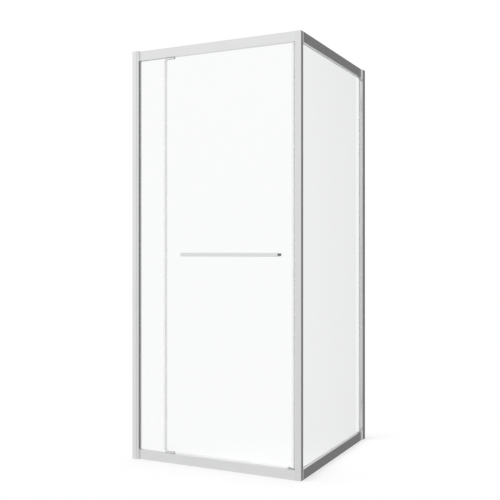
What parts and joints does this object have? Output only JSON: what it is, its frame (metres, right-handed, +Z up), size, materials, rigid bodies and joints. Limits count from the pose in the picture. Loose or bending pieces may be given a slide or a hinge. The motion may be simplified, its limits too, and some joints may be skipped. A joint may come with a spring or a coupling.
{
  "type": "shower enclosure",
  "caption": "Corner shower enclosure: framed front with narrow fixed glass and an outward pivot door with bar handle, and a fixed glass return panel.",
  "frame": {"origin": "on the floor, at the middle of the bounding box's floor rectangle", "axes": "+Z up; -Y out through the door; +X from the left wall towards the return panel; the back wall is at +Y"},
  "size_m": [0.9, 0.92, 2],
  "materials": {
    "frame_aluminium": "satin anodised",
    "clear_glass": "clear toughened",
    "bright_chrome": "polished",
    "stainless_steel": "brushed",
    "grey_gasket": "matt",
    "clear_seal": "clear",
    "grey_seal": "satin",
    "magnet_strip": "matt",
    "pale_acetal": "matt",
    "grey_plastic": "matt"
  },
  "bodies": {
    "frame": {"left_wall_channel": "frame_aluminium", "back_wall_channel": "frame_aluminium", "left_jamb": "frame_aluminium", "back_jamb": "frame_aluminium", "corner_post": "frame_aluminium", "front_header": "frame_aluminium", "front_sill": "frame_aluminium", "side_header": "frame_aluminium", "side_sill": "frame_aluminium", "left_jamb_cap": "frame_aluminium", "back_jamb_cap": "frame_aluminium", "corner_post_cap": "frame_aluminium", "sill_infill": "frame_aluminium", "header_infill": "frame_aluminium", "fixed_panel_glass": "clear_glass", "side_panel_glass": "clear_glass", "fixed_panel_outer_gasket": "grey_gasket", "side_panel_outer_gasket": "grey_gasket", "setting_blocks": "pale_acetal", "top_corner_key": "pale_acetal", "bottom_corner_key": "pale_acetal", "jamb_keys": "pale_acetal", "bottom_pivot_bush": "pale_acetal", "top_pivot_bush": "pale_acetal", "jamb_screw_covers": "pale_acetal", "bottom_pivot_housing": "pale_acetal", "top_pivot_housing": "pale_acetal", "door_stop": "grey_plastic", "key_screws": "stainless_steel", "jamb_screws": "stainless_steel", "pivot_housing_screws": "stainless_steel", "door_stop_screw": "stainless_steel", "fixed_panel_edge_seal": "clear_seal", "fixed_panel_inner_gasket": "clear_seal", "side_panel_inner_gasket": "clear_seal", "post_magnet_seal": "grey_seal", "post_magnet": "magnet_strip"},
    "door": {"door_glass": "clear_glass", "bottom_pivot_shoe": "bright_chrome", "top_pivot_shoe": "bright_chrome", "handle_bar": "bright_chrome", "handle_left_post": "bright_chrome", "handle_right_post": "bright_chrome", "handle_back_caps": "bright_chrome", "bottom_shoe_liner": "clear_seal", "top_shoe_liner": "clear_seal", "door_magnet_seal": "clear_seal", "door_bottom_seal": "clear_seal", "handle_washers": "clear_seal", "handle_sleeves": "clear_seal", "bottom_shoe_grub_screws": "stainless_steel", "top_shoe_grub_screws": "stainless_steel", "bottom_pivot_pin": "stainless_steel", "top_pivot_pin": "stainless_steel", "handle_screws": "stainless_steel", "door_magnet": "magnet_strip"}
  },
  "joints": [
    {"name": "door_swing", "type": "hinge", "parent": "frame", "child": "door", "pos_m": [-0.2475, -0.417, 1], "axis": [0, 0, -1], "range_deg": [0, 100]}
  ]
}
